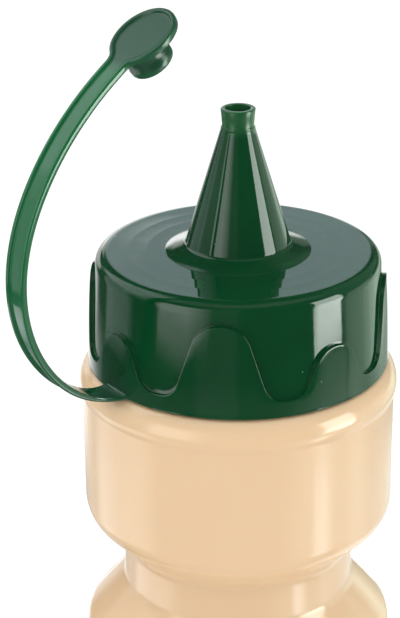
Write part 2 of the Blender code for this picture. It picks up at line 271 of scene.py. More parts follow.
def turned(shape, profile, steps, middle=0.0):
    """Turn a profile of (radius, height) into shape, round an upright axis at x = middle."""
    rings = []
    for radius, height in profile:
        if radius < TOUCHING:
            rings.append([shape.verts.new((middle, 0.0, height))])
            continue
        ring = []
        for i in range(steps):
            angle = math.tau * i / steps
            spot = (middle + radius * math.cos(angle), radius * math.sin(angle), height)
            ring.append(shape.verts.new(spot))
        rings.append(ring)
    for ring, after in zip(rings, rings[1:]):
        for i in range(steps):
            corners = [ring[i % len(ring)], ring[(i + 1) % len(ring)]]
            corners += [after[(i + 1) % len(after)], after[i % len(after)]]
            corners = [c for k, c in enumerate(corners) if c not in corners[:k]]
            if len(corners) > 2:
                shape.faces.new(corners)


def run_tree(item, tree, values):
    """Run a geometry tree on an object and keep its result as a plain mesh."""
    modifier = item.modifiers.new("shape", "NODES")
    modifier.node_group = tree
    for socket in tree.interface.items_tree:
        if socket.item_type == "SOCKET" and socket.in_out == "INPUT" and socket.name in values:
            modifier[socket.identifier] = values[socket.name]
    evaluated = item.evaluated_get(bpy.context.evaluated_depsgraph_get())
    mesh = bpy.data.meshes.new_from_object(evaluated)
    item.modifiers.remove(modifier)
    item.data = mesh
    mesh.shade_smooth()


def feed(tree, node, inputs):
    """Give a node its inputs, by name or number: a value or another node's output."""
    for key, value in inputs.items():
        if isinstance(value, bpy.types.NodeSocket):
            tree.links.new(value, node.inputs[key])
        else:
            node.inputs[key].default_value = value


def add_node(tree, kind, inputs=None, **settings):
    """Add a node with its settings and inputs. Its outputs are returned."""
    node = tree.nodes.new(kind)
    for name, value in settings.items():
        setattr(node, name, value)
    feed(tree, node, inputs or {})
    return node.outputs


def geometry_tree(name, **inputs):
    """Empty geometry tree with inputs of the given kinds, and those inputs."""
    tree = bpy.data.node_groups.new(name, "GeometryNodeTree")
    for key, kind in {"Geometry": "Geometry", **inputs}.items():
        tree.interface.new_socket(key, in_out="INPUT", socket_type="NodeSocket" + kind)
    tree.interface.new_socket("Geometry", in_out="OUTPUT", socket_type="NodeSocketGeometry")
    return tree, add_node(tree, "NodeGroupInput")


def finish_tree(tree, shape, material):
    """End a tree in realised, finished geometry."""
    shape = add_node(tree, "GeometryNodeRealizeInstances", {"Geometry": shape})[0]
    weld = {"Geometry": shape, "Distance": 10 * TOUCHING}
    shape = add_node(tree, "GeometryNodeMergeByDistance", weld)[0]
    shape = add_node(tree, "GeometryNodeSetMaterial", {"Geometry": shape, "Material": material})[0]
    add_node(tree, "NodeGroupOutput", {"Geometry": shape})


# Materials


def new_material(name):
    """New material, its node tree, its main shader and a point's place on the object."""
    material = bpy.data.materials.new(name)
    material.use_nodes = True
    tree = material.node_tree
    place = add_node(tree, "ShaderNodeTexCoord")["Object"]
    return material, tree, tree.nodes["Principled BSDF"], place


def moulded_polyethylene(name, finishes, shades, spot, places):
    """Injection-moulded green polyethylene, polished by its mould.

    shades are its two body colours. spot is the colour painted at places, each given as
    (centre, full out to, none beyond): painted light and shade, a lighter cap tip for light
    through it, a darker strap stopper and root, partly thicker plastic and partly painted
    shade. The first place is less polished too.
    """
    material, tree, shader, place = new_material(name)
    # A dense pigment under a clean gloss: dark body, sharp pale reflections.
    values = {"IOR": 1.5, "Metallic": 0.0, "Subsurface Weight": 0.35}
    values |= {"Subsurface Radius": (0.12, 1.0, 0.45), "Subsurface Scale": 0.7 * MM}
    # Pigment flow: streaks some 12 mm long.
    noise = {"Vector": place, "Scale": 80.0, "Detail": 3.0, "Distortion": 0.6}
    flow = add_node(tree, NOISE, noise)["Fac"]
    shades = {0: flow, 6: shades[0], 7: shades[1]}
    body = add_node(tree, BLEND, shades, data_type="RGBA")[2]
    # Painted light and shade: the colour turns to spot near the places, a glow on thin walls and
    # shade at thick, overhung ones.
    masks = []
    for centre, near, far in places:
        away = add_node(tree, VECTORS, {0: place, 1: centre}, operation="DISTANCE")["Value"]
        span = {"Value": away, "From Min": far, "From Max": near}
        masks.append(add_node(tree, SPAN, span)[0])
    painted_shading = masks[0]
    for mask in masks[1:]:
        painted_shading = add_node(tree, MATH, {0: painted_shading, 1: mask}, operation="MAXIMUM")[0]
    body = add_node(tree, BLEND, {0: painted_shading, 6: body, 7: spot}, data_type="RGBA")[2]
    # Pale dust specks, up to 0.3 mm across, about one in each 5 square centimetres.
    cells = add_node(tree, "ShaderNodeTexVoronoi", {"Vector": place, "Scale": 240.0})
    odd = add_node(tree, "ShaderNodeSeparateColor", {"Color": cells["Color"]})[0]
    chosen = add_node(tree, MATH, {0: odd, 1: 0.55}, operation="GREATER_THAN")[0]
    speck = add_node(tree, MATH, {0: cells["Distance"], 1: 0.035}, operation="LESS_THAN")[0]
    speck = add_node(tree, MATH, {0: chosen, 1: speck}, operation="MULTIPLY")[0]
    dusted = {0: speck, 6: body, 7: finishes.dust}
    values["Base Color"] = add_node(tree, BLEND, dusted, data_type="RGBA")[2]
    # Slow dimples of the moulding skin, about 8 mm.
    skin = add_node(tree, NOISE, {"Vector": place, "Scale": 125.0, "Detail": 1.0})["Fac"]
    relief = {"Strength": 0.06, "Distance": 0.4 * MM, "Height": skin}
    values["Normal"] = add_node(tree, "ShaderNodeBump", relief)[0]
    # Handling haze: the gloss varies over some 15 mm, with fine dust of 0.3 mm.
    haze = add_node(tree, NOISE, {"Vector": place, "Scale": 66.0, "Detail": 4.0})["Fac"]
    fine = add_node(tree, NOISE, {"Vector": place, "Scale": 3200.0, "Detail": 1.0})["Fac"]
    haze = add_node(tree, MATH, {0: haze, 1: fine}, operation="MULTIPLY")[0]
    span = {"Value": haze, "From Min": 0.15, "From Max": 0.4, "To Min": 0.03, "To Max": 0.09}
    gloss = add_node(tree, SPAN, span)[0]
    worn = {0: masks[0], 2: gloss, 3: 0.26}
    values["Roughness"] = add_node(tree, BLEND, worn, data_type="FLOAT")[0]
    feed(tree, shader, values)
    return material


def blown_polyethylene(finishes):
    """Blow-moulded peach polyethylene with a soft gloss."""
    material, tree, shader, place = new_material("blow_moulded_polyethylene_peach")
    # A thin milky wall: light spreads in it, so its shades are soft and warm.
    values = {"IOR": 1.5, "Metallic": 0.0, "Subsurface Weight": 0.35}
    values |= {"Subsurface Radius": (1.0, 0.62, 0.36), "Subsurface Scale": 6 * MM}
    # The wall is blown out unevenly, so it is warmer where it is thick, over some 40 mm.
    wall = add_node(tree, NOISE, {"Vector": place, "Scale": 25.0, "Detail": 2.0})["Fac"]
    shades = {0: wall, 6: finishes.warm_peach, 7: finishes.peach}
    values["Base Color"] = add_node(tree, BLEND, shades, data_type="RGBA")[2]
    # Slow waves of the blown wall, over some 22 mm.
    waves = add_node(tree, NOISE, {"Vector": place, "Scale": 45.0, "Detail": 1.0})["Fac"]
    relief = {"Strength": 0.1, "Distance": MM, "Height": waves}
    values["Normal"] = add_node(tree, "ShaderNodeBump", relief)[0]
    # The blasted mould's skin: duller spots, drawn at 1 mm, as the real 0.2 mm wouldn't show.
    grain = add_node(tree, NOISE, {"Vector": place, "Scale": 1000.0, "Detail": 1.0})["Fac"]
    span = {"Value": grain, "From Min": 0.3, "From Max": 0.7, "To Min": 0.125, "To Max": 0.15}
    values["Roughness"] = add_node(tree, SPAN, span)[0]
    feed(tree, shader, values)
    return material


def painted_board(finishes):
    """Matt painted studio board."""
    material, tree, shader, place = new_material("painted_board_white")
    # Dead matt, so it shows no glare, with a faint glow of its own that keeps it pale.
    values = {"Roughness": 0.9, "Specular IOR Level": 0.2}
    values |= {"Emission Color": (1.0, 1.0, 1.0, 1.0), "Emission Strength": 0.1}
    # Grain of the paint, drawn at 2.5 mm, as the real 0.3 mm wouldn't show.
    grain = add_node(tree, NOISE, {"Vector": place, "Scale": 400.0, "Detail": 3.0})["Fac"]
    shades = {0: grain, 6: finishes.floor, 7: tuple(0.97 * c for c in finishes.floor)}
    values["Base Color"] = add_node(tree, BLEND, shades, data_type="RGBA")[2]
    feed(tree, shader, values)
    return material


# Bottle


def waist_edge(b, radius, height, rounding, flank, downwards):
    """Rounded edge, flank and fillet from a body in to the waist, listed that way."""
    lean = math.degrees(flank)
    rounded = arc((radius - rounding, height), rounding, 0, -lean * downwards, 12)
    fillet_r = b.waist_radius + b.waist_fillet
    run = rounded[-1][0] - (fillet_r - b.waist_fillet * math.cos(flank))
    drop = run / math.tan(flank) + b.waist_fillet * math.sin(flank)
    fillet_z = rounded[-1][1] - downwards * drop
    fillet = arc((fillet_r, fillet_z), b.waist_fillet, 180 - lean * downwards, 180, 8)
    middle = ((rounded[-1][0] + fillet[0][0]) / 2, (rounded[-1][1] + fillet[0][1]) / 2)
    return rounded + [middle] + fillet


def bottle_profile(b, c):
    """Outer side of the bottle, from the top of its neck to the middle of its base."""
    gap, bevel = 0.3 * MM, MM
    top = b.rim_z + c.height - c.plate - gap
    neck = c.inner_top - gap
    points = [(0.0, top), (neck - bevel, top), (neck, top - bevel)]
    points.append((c.inner_foot - gap, b.rim_z - b.ledge_drop))
    # The bead runs into the body through a soft fillet.
    bead = (b.bead_radius - b.bead_round, b.rim_z - b.bead_drop)
    bead_start = math.degrees(math.asin((b.bead_drop - b.ledge_drop) / b.bead_round))
    fillet = b.bead_fillet
    turn = math.acos((b.upper_radius + fillet - bead[0]) / (b.bead_round + fillet))
    bead_end, foot = -math.degrees(turn), bead[1] - (b.bead_round + fillet) * math.sin(turn)
    points += arc(bead, b.bead_round, bead_start, bead_end, 20)
    points += arc((b.upper_radius + fillet, foot), fillet, 180 + bead_end, 180, 8)[1:]
    upper_z, lower_z = b.rim_z - b.upper_edge_drop, b.rim_z - b.lower_edge_drop
    for share in (0.02, 0.2, 0.4, 0.6, 0.8, 0.98):
        points.append((b.upper_radius, mix(foot, upper_z, share)))
    upper_flank, lower_flank = math.radians(45), math.radians(39)
    upper = waist_edge(b, b.upper_radius, upper_z, b.upper_edge_round, upper_flank, 1)
    lower = waist_edge(b, b.body_radius, lower_z, b.lower_edge_round, lower_flank, -1)
    points += upper + lower[::-1]
    for i in range(1, 12):
        points.append((b.body_radius, mix(lower_z, b.base_round, i / 12)))
    base = b.body_radius - b.base_round
    points += arc((base, b.base_round), b.base_round, 0, -90, 10)
    return points + [(20 * MM, 0.0), (0.0, 0.0)]


class BOTTLE_OT_make_bottle(bpy.types.Operator):
    """Make the blow-moulded bottle"""

    bl_idname = "squeeze_bottle.make_bottle"
    bl_label = "Make Bottle"

    def execute(self, context):
        b, c = context.scene.bottle_sizes, context.scene.cap_sizes
        shape = bmesh.new()
        turned(shape, bottle_profile(b, c), b.steps)
        material = blown_polyethylene(context.scene.finishes)
        body = piece_from(shape, "bottle_body", material)
        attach(body, "root")
        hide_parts("bottle")
        return {"FINISHED"}


# Cap


def half_lobe(c, height, rounding, reach, counts):
    """One side of a lobe, from its top to its valley.

    Each point is the distance along the skirt, the height, and the two parts of the
    edge's normal, which points away from the band. counts are the steps of the top's
    round, of the flank and of the valley's round.
    """
    top = Vector((0.0, height - rounding))
    foot = Vector((reach, c.valley + c.valley_round))
    across = foot - top
    lean = math.atan2(across.y, across.x)
    lean += math.acos((rounding + c.valley_round) / across.length)
    points = []
    for i in range(counts[0] + 1):
        angle = mix(math.pi / 2, lean, i / counts[0])
        out = Vector((math.cos(angle), math.sin(angle)))
        points.append((*(top + rounding * out), *out))
    out = Vector((math.cos(lean), math.sin(lean)))
    start, end = top + rounding * out, foot - c.valley_round * out
    for i in range(1, counts[1]):
        points.append((*start.lerp(end, i / counts[1]), *out))
    for i in range(counts[2] + 1):
        angle = mix(lean + math.pi, math.tau * 0.75, i / counts[2])
        out = Vector((-math.cos(angle), -math.sin(angle)))
        points.append((*(foot - c.valley_round * out), *out))
    return points


def wave_columns(c):
    """The band's edge from one tall lobe's middle to the next, with its normals."""
    reach = math.tau / c.lobe_pairs * c.wave_radius
    tall = half_lobe(c, c.tall_lobe, c.tall_round, c.tall_reach, (12, 7, 8))
    short = half_lobe(c, c.short_lobe, c.short_round, c.short_reach, (12, 4, 8))
    side = tall + [(reach / 2 - u, z, -nu, nz) for u, z, nu, nz in reversed(short)]
    other = [(reach - u, z, -nu, nz) for u, z, nu, nz in reversed(side[:-1])]
    return side + other


def wall_radius(c, height):
    """Radius of the plain wall at a height."""
    return mix(c.wall_foot, c.wall_top, height / (c.height - c.top_round))


def band_radius(c, height):
    """Radius of the raised band's face at a height."""
    return c.rim_radius - BAND_TAPER * height - BAND_FALL * height**3


def skirt_column(c, point):
    """Outer side of the skirt at a column: (distance along, radius, height), rim upwards."""
    u, z, nu, nz = point
    rows = []
    for radius, height in arc((c.rim_radius - c.rim_round, c.rim_round), c.rim_round, -90, 0, 4):
        rows.append((u, radius, height))
    # Band, up to its rounded edge. The rows lean over to the edge's normal.
    edge, reach = c.band_edge, c.crown_reach
    start_u, start_z = u - reach * nu, z - reach * nz
    for share in BAND_ROWS:
        height = mix(c.rim_round, start_z, share)
        lean = 1 - (1 - share) ** 2
        rows.append((mix(u, start_u, lean), band_radius(c, height), height))
    fall = c.flank_crown * nu * nu
    for share in (1.0, 0.8, 0.6, 0.4, 0.2, edge / reach):
        height = z - share * reach * nz
        radius = band_radius(c, height) - fall * (1 - share) ** 2
        rows.append((u - share * reach * nu, radius, height))
    for angle in QUARTER[1:]:
        back = edge * (1 - math.sin(angle))
        height = z - back * nz
        radius = band_radius(c, height) - fall - edge * (1 - math.cos(angle))
        rows.append((u - back * nu, radius, height))
    # Fillet at the foot of the edge, on the wall.
    foot = c.band_foot
    for angle in QUARTER:
        out = foot * (1 - math.cos(angle))
        height = z + out * nz
        radius = wall_radius(c, height) + foot * (1 - math.sin(angle))
        rows.append((u + out * nu, radius, height))
    start_u, start_z = u + foot * nu, z + foot * nz
    for share in WALL_ROWS:
        height = mix(start_z, c.height - c.top_round, share)
        lean = 1 - (1 - share) ** 2
        rows.append((mix(start_u, u, lean), wall_radius(c, height), height))
    return rows


def top_rows(c):
    """Rows of the top, from its rounding in to the flare, with its shallow turning rings."""
    flat = c.wall_top - c.top_round
    rows = arc((flat, c.height - c.top_round), c.top_round, 0, 90, 10)
    # Each ring is a little hollow, between sharp crests.
    crests, hollow = (flat - 0.4 * MM, 22.3 * MM, 18.5 * MM, c.nozzle_flare), 0.013 * MM
    for outer, inner in zip(crests, crests[1:]):
        for share in RING_ROWS:
            depth = hollow * (1 - (2 * share - 1) ** 2)
            rows.append((mix(outer, inner, share), c.height - depth))
    return rows


def nozzle_rows(c):
    """Rows up the outside of the nozzle, from its flare's low step to its tip."""
    slope = math.atan2(c.cone_foot_radius - c.cone_top_radius, c.cone_top - c.height)
    lift, fillet, start_z = c.flare_slope, c.flare_fillet, c.height + c.flare_step
    rise, lean = math.tan(lift), math.tan(slope)
    # The flare would meet the cone at this radius, and its fillet starts a reach before.
    corner = c.cone_foot_radius - lean * (c.flare_step + c.nozzle_flare * rise)
    corner /= 1 - lean * rise
    reach = fillet * math.tan((math.pi / 2 - slope - lift) / 2)
    foot = corner + reach * math.cos(lift)
    foot_z = start_z + (c.nozzle_flare - foot) * rise
    rows = [(c.nozzle_flare - 0.02 * MM, start_z - 0.03 * MM)]
    rows += [(c.nozzle_flare - 0.06 * MM, start_z)]
    rows += [(mix(c.nozzle_flare, foot, 0.5), mix(start_z, foot_z, 0.5))]
    centre = (foot + fillet * math.sin(lift), foot_z + fillet * math.cos(lift))
    rows += arc(centre, fillet, 270 - math.degrees(lift), 180 + math.degrees(slope), 16)
    foot, foot_z = rows[-1]
    for share in (0.03, 0.2, 0.4, 0.6, 0.8, 0.96, 1.0):
        rows.append((mix(foot, c.cone_top_radius, share), mix(foot_z, c.cone_top, share)))
    # A thin shut-line step separates the cone from the tip's collar.
    rows += [(c.cone_top_radius + 0.06 * MM, c.cone_top + 0.12 * MM)]
    rows += [(c.collar_foot_radius + 0.05 * MM, c.cone_top + 0.35 * MM)]
    middle, edge = (3.3 * MM, 51.2 * MM), 0.22 * MM
    rows += [(c.collar_foot_radius, c.collar_foot), middle]
    return rows + arc((c.tip_radius - edge, c.tip_height - edge), edge, 0, 90, 4)


def inner_rows(c):
    """Rows down the bore and the inside of the cap, to the foot of the skirt."""
    lip, under, bevel = 0.15 * MM, c.height - c.plate, 0.5 * MM
    mouth = c.tip_height - lip
    rows = arc((c.bore_radius + lip, mouth), lip, 90, 180, 3)
    for share in (0.1, 0.4, 0.7, 1.0):
        rows.append((c.bore_radius, mix(mouth, under, share)))
    rows += [(14 * MM, under), (c.inner_top - bevel, under), (c.inner_top, under - bevel)]
    bevel = 0.3 * MM
    return rows + [(c.inner_foot, bevel), (c.inner_foot + bevel, 0.0)]


def cap_sector(c, rim_z):
    """One sector of the cap, between the middles of two tall lobes, unturned."""
    shape = bmesh.new()
    rows = top_rows(c) + nozzle_rows(c) + inner_rows(c)
    columns = []
    for point in wave_columns(c):
        spots = skirt_column(c, point) + [(point[0], r, z) for r, z in rows]
        column = []
        for u, radius, height in spots:
            angle = u / c.wave_radius
            spot = (radius * math.sin(angle), -radius * math.cos(angle), rim_z + height)
            column.append(shape.verts.new(spot))
        columns.append(column)
    for column, after in zip(columns, columns[1:]):
        for i in range(len(column)):
            k = (i + 1) % len(column)
            shape.faces.new((column[i], after[i], after[k], column[k]))
    return shape


def sector_tree():
    """Tree that repeats a sector evenly round the cap's axis."""
    kinds = {"Count": "Int", "Start": "Float", "Material": "Material"}
    tree, given = geometry_tree("repeat_round_axis", **kinds)
    values = {"Geometry": given["Geometry"]}
    one = add_node(tree, "GeometryNodeGeometryToInstance", values)[0]
    values = {"Geometry": one, "Amount": given["Count"]}
    copies = add_node(tree, "GeometryNodeDuplicateElements", values, domain="INSTANCE")
    step = add_node(tree, MATH, {0: math.tau, 1: given["Count"]}, operation="DIVIDE")[0]
    values = {0: copies["Duplicate Index"], 1: step, 2: given["Start"]}
    angle = add_node(tree, MATH, values, operation="MULTIPLY_ADD")[0]
    turn = add_node(tree, "ShaderNodeCombineXYZ", {"Z": angle})[0]
    values = {"Instances": copies["Geometry"], "Rotation": turn}
    finish_tree(tree, add_node(tree, "GeometryNodeRotateInstances", values)[0], given["Material"])
    return tree


class BOTTLE_OT_make_cap(bpy.types.Operator):
    """Make the cap's skirt, wavy band and nozzle"""

    bl_idname = "squeeze_bottle.make_cap"
    bl_label = "Make Cap"

    def execute(self, context):
        scene = context.scene
        c, f = scene.cap_sizes, scene.finishes
        tip = (0.0, 0.0, scene.bottle_sizes.rim_z + c.tip_height)
        # The tip's lighter green is a painted glow of light through its thin wall.
        shades, places = (f.deep_green, f.green), [(tip, 4.5 * MM, 6.5 * MM)]
        name = "moulded_polyethylene_dark_green"
        material = moulded_polyethylene(name, f, shades, f.tip_green_painted_glow, places)
        body = piece_from(cap_sector(c, scene.bottle_sizes.rim_z), "cap_body")
        start = scene.strap_sizes.azimuth - math.pi / c.lobe_pairs
        values = {"Count": c.lobe_pairs, "Start": start, "Material": material}
        run_tree(body, sector_tree(), values)
        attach(body, "root")
        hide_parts("cap")
        return {"FINISHED"}


# Strap


def strap_path(t, rim_z):
    """Points of the strap's middle line, lead included."""
    outwards = Vector((math.sin(t.azimuth), -math.cos(t.azimuth), 0.0))
    step = STRAP_STEP
    radius, height, heading = t.root_radius, t.root_height, t.heading
    radius -= STRAP_LEAD * math.cos(heading)
    height -= STRAP_LEAD * math.sin(heading)
    points = []
    along = -STRAP_LEAD
    while along < t.disc_at + t.disc_radius + 2 * MM:
        points.append(outwards * radius + Vector((0.0, 0.0, rim_z + height)))
        bend = bend_at((along + step / 2) / MM) * step / MM
        radius += step * math.cos(heading + bend / 2)
        height += step * math.sin(heading + bend / 2)
        heading += bend
        along += step
    return points


def bend_at(along):
    """Bend of the strap, per millimetre, at a distance along it in millimetres."""
    if along < 0:
        return 0.0
    for (s0, radius0), (s1, radius1) in zip(STRAP_BENDS, STRAP_BENDS[1:]):
        if along <= s1:
            return mix(1 / radius0, 1 / radius1, (along - s0) / (s1 - s0))
    return 0.0


def strap_outline(t):
    """One long edge of the flat strap, root to tip: (along, across, and its normal)."""
    points = []
    side = t.half_width + t.neck_fillet
    reach = t.disc_radius + t.neck_fillet
    start = t.disc_at - math.sqrt(reach**2 - side**2)

    def width(along):
        return t.half_width + t.flare * max(0.0, 1 - along / t.flare_length) ** 2

    # Stations along the strap, close together on its flared root.
    fine, coarse, root, nudge = 0.25 * MM, 0.9 * MM, 4 * MM, 0.01 * MM
    stations = [-2 * MM, -1 * MM] + [fine * i for i in range(16)]
    count = round((start - root) / coarse)
    stations += [mix(root, start, i / count) for i in range(count)]
    for along in stations:
        slope = (width(along + nudge) - width(along - nudge)) / (2 * nudge)
        scale = math.hypot(1.0, slope)
        points.append((along, width(along), -slope / scale, 1 / scale))
    turn = math.asin((t.disc_at - start) / reach)
    for i in range(8):
        angle = mix(0.0, turn, i / 8)
        out = (-math.sin(angle), math.cos(angle))
        spot = (start - t.neck_fillet * out[0], side - t.neck_fillet * out[1])
        points.append((*spot, *out))
    first = math.acos((t.disc_at - start) / reach)
    for i in range(37):
        angle = mix(first, math.pi, i / 36)
        out = (-math.cos(angle), math.sin(angle))
        points.append((t.disc_at + t.disc_radius * out[0], t.disc_radius * out[1], *out))
    return points


def strap_section(t, along):
    """Half section of the strap: (inset from its edge, depth), outer face to inner face.

    An inset of None is the middle line.
    """
    thin = min(max(1 - along / t.thinning_length, 0.0), 1.0)
    outer = t.outer_thinning * thin - t.thickness / 2
    inner = t.thickness / 2 - t.inner_thinning * thin
    # Fillet up to the skirt, highest in the middle.
    reach, fillet = t.root_fillet, 0.0
    if along < reach:
        fillet = reach - math.sqrt(max(reach**2 - (reach - max(along, 0.0)) ** 2, 0.0))
    half = 0.6 * MM
    depth = t.recess * eased((along - t.recess_start + half) / (2 * half))
    edge, corner = t.edge_round, t.inner_round
    points = [(None, outer + depth)]
    points += [(t.border + inset * MM, outer + share * depth) for inset, share in BORDER_STEP]
    points.append((mix(points[-1][0], edge, 0.5), outer))
    points += [(edge * (1 - math.sin(a)), outer + edge * (1 - math.cos(a))) for a in QUARTER]
    points.append((0.0, (outer + inner) / 2))
    points += [(corner * (1 - math.cos(a)), inner - corner * (1 - math.sin(a))) for a in QUARTER]
    points += [(0.5 * MM, inner + 0.15 * fillet), (1.5 * MM, inner + 0.7 * fillet)]
    return points + [(None, inner + fillet)]


def plug_profile(t):
    """Section of the plug, from the bottom of its socket round to the disc."""
    socket, lip, neck, root = t.socket_radius, t.plug_lip, t.plug_neck, t.thickness / 2
    end = root + t.plug_height
    floor = end - t.socket_depth
    corner, mouth, ease, edge, foot = 0.2 * MM, 0.3 * MM, 0.08 * MM, 0.6 * MM, 0.4 * MM
    points = [(0.0, floor), (socket - corner, floor), (socket, floor + corner)]
    points += [(socket, end - mouth), (socket + ease, end - ease), (socket + mouth, end)]
    points += arc((lip - edge, end - edge), edge, 90, 0, 5)
    # The lip eases in to the neck.
    points += [(lip, mix(root, end, 0.74)), (lip - ease, mix(root, end, 0.68))]
    points += [(neck + ease, mix(root, end, 0.54)), (neck, mix(root, end, 0.48))]
    points += arc((neck + foot, root + foot), foot, 180, 270, 4)
    sunk = root - 0.3 * MM
    return points + [(neck + foot, sunk), (0.0, sunk)]


def flat_strap(t):
    """The strap and stopper as moulded, flat: x along, y across, z towards its inner side."""
    shape = bmesh.new()
    middle_inset, weld = t.border + BORDER_STEP[0][0] * MM, 20 * TOUCHING
    loops = []
    for along, across, n_along, n_across in strap_outline(t):
        half = []
        fade = 1 - eased(along / ROUND_ROOT)
        for inset, depth in strap_section(t, along):
            if inset is None:
                x, y = along - middle_inset * n_along, 0.0
            else:
                x, y = along - inset * n_along, max(across - inset * n_across, 0.0)
            # The root's end follows the round skirt.
            x += fade * (math.sqrt(t.root_radius**2 - y * y) - t.root_radius)
            half.append((x, y, depth))
        loop = [shape.verts.new(p) for p in half]
        loop += [shape.verts.new((x, -y, z)) for x, y, z in reversed(half[1:-1])]
        loops.append(loop)
    for loop, after in zip(loops, loops[1:]):
        for i in range(len(loop)):
            k = (i + 1) % len(loop)
            shape.faces.new((loop[i], loop[k], after[k], after[i]))
    shape.faces.new(loops[0])
    bmesh.ops.remove_doubles(shape, verts=shape.verts, dist=weld)
    turned(shape, plug_profile(t), 72, t.disc_at + t.plug_shift)
    return shape


def bending_tree():
    """Tree that bends flat geometry along a curve, x along it and z to its inner side."""
    kinds = {"Path": "Object", "Lead": "Float", "Across": "Vector", "Material": "Material"}
    tree, given = geometry_tree("bend_along_path", **kinds)
    values = {"Object": given["Path"]}
    path = add_node(tree, "GeometryNodeObjectInfo", values, transform_space="ORIGINAL")
    flat = add_node(tree, "GeometryNodeInputPosition")[0]
    x, y, z = add_node(tree, "ShaderNodeSeparateXYZ", {"Vector": flat})
    along = add_node(tree, MATH, {0: x, 1: given["Lead"]}, operation="ADD")[0]
    values = {"Curves": path["Geometry"], "Length": along}
    kind = {"mode": "LENGTH", "use_all_curves": True}
    spot = add_node(tree, "GeometryNodeSampleCurve", values, **kind)
    values = {0: spot["Tangent"], 1: given["Across"]}
    inwards = add_node(tree, VECTORS, values, operation="CROSS_PRODUCT")[0]
    shifts = {}
    for i, (direction, size) in enumerate(((given["Across"], y), (inwards, z))):
        values = {0: direction, "Scale": size}
        shifts[i] = add_node(tree, VECTORS, values, operation="SCALE")[0]
    shift = add_node(tree, VECTORS, shifts, operation="ADD")[0]
    values = {0: spot["Position"], 1: shift}
    bent = add_node(tree, VECTORS, values, operation="ADD")[0]
    values = {"Geometry": given["Geometry"], "Position": bent}
    finish_tree(tree, add_node(tree, "GeometryNodeSetPosition", values)[0], given["Material"])
    return tree


class BOTTLE_OT_make_strap(bpy.types.Operator):
    """Make the strap and stopper, moulded flat and bent along the strap's curve"""

    bl_idname = "squeeze_bottle.make_strap"
    bl_label = "Make Strap and Stopper"

    def execute(self, context):
        scene = context.scene
        t, f = scene.strap_sizes, scene.finishes
        points = strap_path(t, scene.bottle_sizes.rim_z)
        curve = bpy.data.curves.new("strap_path", "CURVE")
        curve.dimensions = "3D"
        spline = curve.splines.new("POLY")
        spline.points.add(len(points) - 1)
        for spot, point in zip(points, spline.points):
            point.co = (*spot, 1.0)
        path = add_object("strap_path", curve)
        strap = piece_from(flat_strap(t), "cap_strap_and_stopper")
        # The strap's green carries painted light; near the stopper and the root it turns darker:
        # thicker plastic, and painted shade on the plug under the disc and at the root beside the
        # bottle.
        shades = (f.thin_green_painted_light, tuple(0.85 * c for c in f.thin_green_painted_light))
        disc = points[round((t.disc_at + STRAP_LEAD) / STRAP_STEP)]
        places = [(disc, 6.5 * MM, 9.5 * MM), (points[0], 8 * MM, 48 * MM)]
        name = "moulded_polyethylene_thin_green"
        material = moulded_polyethylene(name, f, shades, f.stopper_green_painted_shade, places)
        across = (math.cos(t.azimuth), math.sin(t.azimuth), 0.0)
        values = {"Path": path, "Lead": STRAP_LEAD, "Across": across, "Material": material}
        run_tree(strap, bending_tree(), values)
        bpy.data.objects.remove(path)
        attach(strap, "root")
        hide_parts("cap")
        return {"FINISHED"}


# Studio


